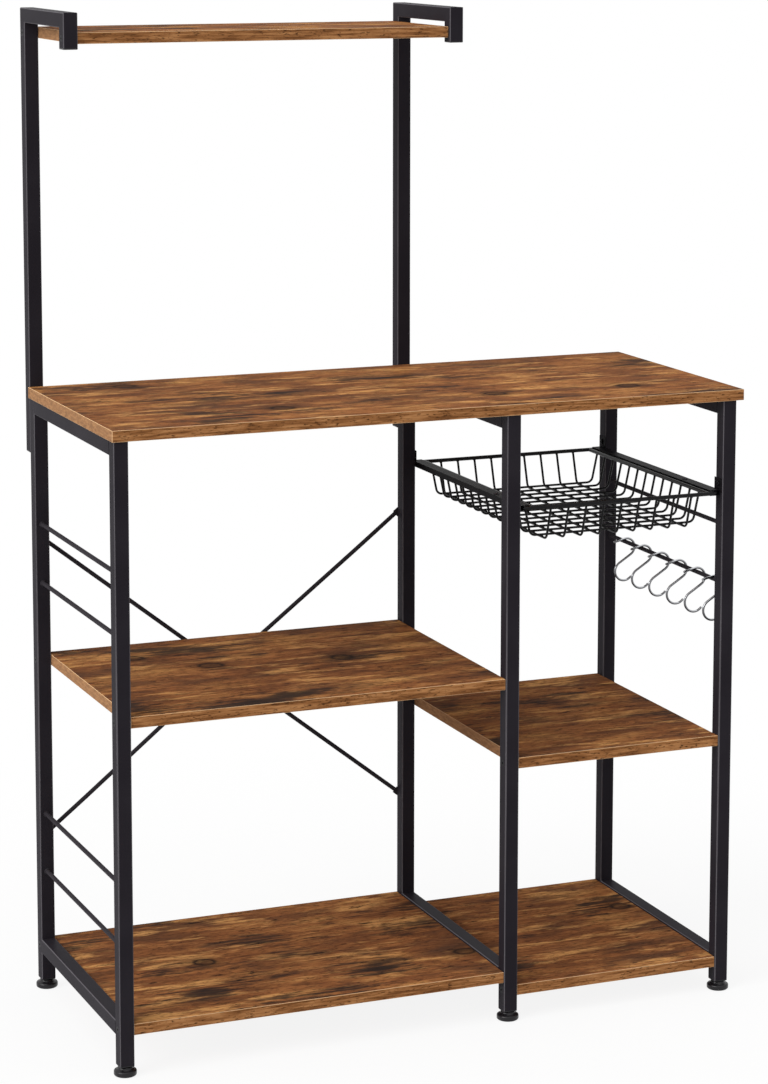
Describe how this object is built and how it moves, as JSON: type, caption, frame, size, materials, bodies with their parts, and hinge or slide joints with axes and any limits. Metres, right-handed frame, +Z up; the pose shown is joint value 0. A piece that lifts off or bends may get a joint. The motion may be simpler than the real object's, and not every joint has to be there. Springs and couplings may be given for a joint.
{
  "type": "bakers rack",
  "caption": "Black steel tube kitchen rack with brown boards, a raised shelf over the worktop, a pull-out wire basket, a crossed back brace and hanging S-hooks.",
  "frame": {"origin": "on the floor plane, under the centre of the overall bounding box, feet and hutch included", "axes": "+Z up, -Y towards the front (the open side the basket pulls out of), +X to the right seen from the front"},
  "size_m": [0.903, 0.406, 1.366],
  "materials": {
    "powder_coated_steel": "satin powder coat",
    "rustic_board": "rustic brown laminate, satin",
    "coated_wire": "satin coat",
    "hook_chrome": "bright",
    "black_plastic": "matte",
    "fastener_steel": "zinc plated",
    "black_fasteners": "black oxide"
  },
  "bodies": {
    "rack": {"left_front_post": "powder_coated_steel", "left_rear_post": "powder_coated_steel", "left_top_rail": "powder_coated_steel", "left_bottom_rail": "powder_coated_steel", "middle_front_post": "powder_coated_steel", "middle_rear_post": "powder_coated_steel", "middle_top_rail": "powder_coated_steel", "middle_bottom_rail": "powder_coated_steel", "right_front_post": "powder_coated_steel", "right_rear_post": "powder_coated_steel", "right_top_rail": "powder_coated_steel", "right_bottom_rail": "powder_coated_steel", "left_side_rod_1": "powder_coated_steel", "left_side_rod_2": "powder_coated_steel", "left_side_rod_3": "powder_coated_steel", "left_side_rod_4": "powder_coated_steel", "right_side_rod": "powder_coated_steel", "hook_rod": "powder_coated_steel", "left_hutch_post": "powder_coated_steel", "left_hutch_arm": "powder_coated_steel", "left_hutch_drop": "powder_coated_steel", "right_hutch_post": "powder_coated_steel", "right_hutch_arm": "powder_coated_steel", "right_hutch_drop": "powder_coated_steel", "hutch_end_plugs": "black_plastic", "main_board": "rustic_board", "top_shelf": "rustic_board", "left_middle_shelf": "rustic_board", "right_middle_shelf": "rustic_board", "left_bottom_shelf": "rustic_board", "right_bottom_shelf": "rustic_board", "brace_rod_falling": "powder_coated_steel", "brace_rod_rising": "powder_coated_steel", "left_basket_rail": "powder_coated_steel", "right_basket_rail": "powder_coated_steel", "threaded_inserts": "fastener_steel", "shelf_bolts": "black_fasteners", "board_bolts": "black_fasteners", "hutch_bolts": "black_fasteners", "brace_screws": "black_fasteners", "rail_screws": "black_fasteners", "foot_plugs": "black_plastic"},
    "basket": {"basket_rim_wire": "coated_wire", "basket_side_wires": "coated_wire", "basket_cross_wires": "coated_wire", "basket_long_wires": "coated_wire"},
    "hook_1": {"s_hook_1": "hook_chrome"},
    "hook_2": {"s_hook_2": "hook_chrome"},
    "hook_3": {"s_hook_3": "hook_chrome"},
    "hook_4": {"s_hook_4": "hook_chrome"},
    "hook_5": {"s_hook_5": "hook_chrome"},
    "hook_6": {"s_hook_6": "hook_chrome"},
    "left_front_foot": {"left_front_foot": "black_plastic"},
    "left_rear_foot": {"left_rear_foot": "black_plastic"},
    "middle_front_foot": {"middle_front_foot": "black_plastic"},
    "middle_rear_foot": {"middle_rear_foot": "black_plastic"},
    "right_front_foot": {"right_front_foot": "black_plastic"},
    "right_rear_foot": {"right_rear_foot": "black_plastic"}
  },
  "joints": [
    {"name": "basket_slide", "type": "slide", "parent": "rack", "child": "basket", "axis": [0, -1, 0], "range_m": [0, 0.25]},
    {"name": "hook_1_swing", "type": "hinge", "parent": "rack", "child": "hook_1", "pos_m": [0.4315, -0.16, 0.5793], "axis": [0, 1, 0], "range_deg": [-60, 60]},
    {"name": "hook_2_swing", "type": "hinge", "parent": "rack", "child": "hook_2", "pos_m": [0.4315, -0.1054, 0.5793], "axis": [0, 1, 0], "range_deg": [-60, 60]},
    {"name": "hook_3_swing", "type": "hinge", "parent": "rack", "child": "hook_3", "pos_m": [0.4315, -0.0508, 0.5793], "axis": [0, 1, 0], "range_deg": [-60, 60]},
    {"name": "hook_4_swing", "type": "hinge", "parent": "rack", "child": "hook_4", "pos_m": [0.4315, 0.0038, 0.5793], "axis": [0, 1, 0], "range_deg": [-60, 60]},
    {"name": "hook_5_swing", "type": "hinge", "parent": "rack", "child": "hook_5", "pos_m": [0.4315, 0.0584, 0.5793], "axis": [0, 1, 0], "range_deg": [-60, 60]},
    {"name": "hook_6_swing", "type": "hinge", "parent": "rack", "child": "hook_6", "pos_m": [0.4315, 0.113, 0.5793], "axis": [0, 1, 0], "range_deg": [-60, 60]},
    {"name": "left_front_foot_height", "type": "slide", "parent": "rack", "child": "left_front_foot", "axis": [0, 0, -1], "range_m": [0, 0.008]},
    {"name": "left_rear_foot_height", "type": "slide", "parent": "rack", "child": "left_rear_foot", "axis": [0, 0, -1], "range_m": [0, 0.008]},
    {"name": "middle_front_foot_height", "type": "slide", "parent": "rack", "child": "middle_front_foot", "axis": [0, 0, -1], "range_m": [0, 0.008]},
    {"name": "middle_rear_foot_height", "type": "slide", "parent": "rack", "child": "middle_rear_foot", "axis": [0, 0, -1], "range_m": [0, 0.008]},
    {"name": "right_front_foot_height", "type": "slide", "parent": "rack", "child": "right_front_foot", "axis": [0, 0, -1], "range_m": [0, 0.008]},
    {"name": "right_rear_foot_height", "type": "slide", "parent": "rack", "child": "right_rear_foot", "axis": [0, 0, -1], "range_m": [0, 0.008]}
  ]
}
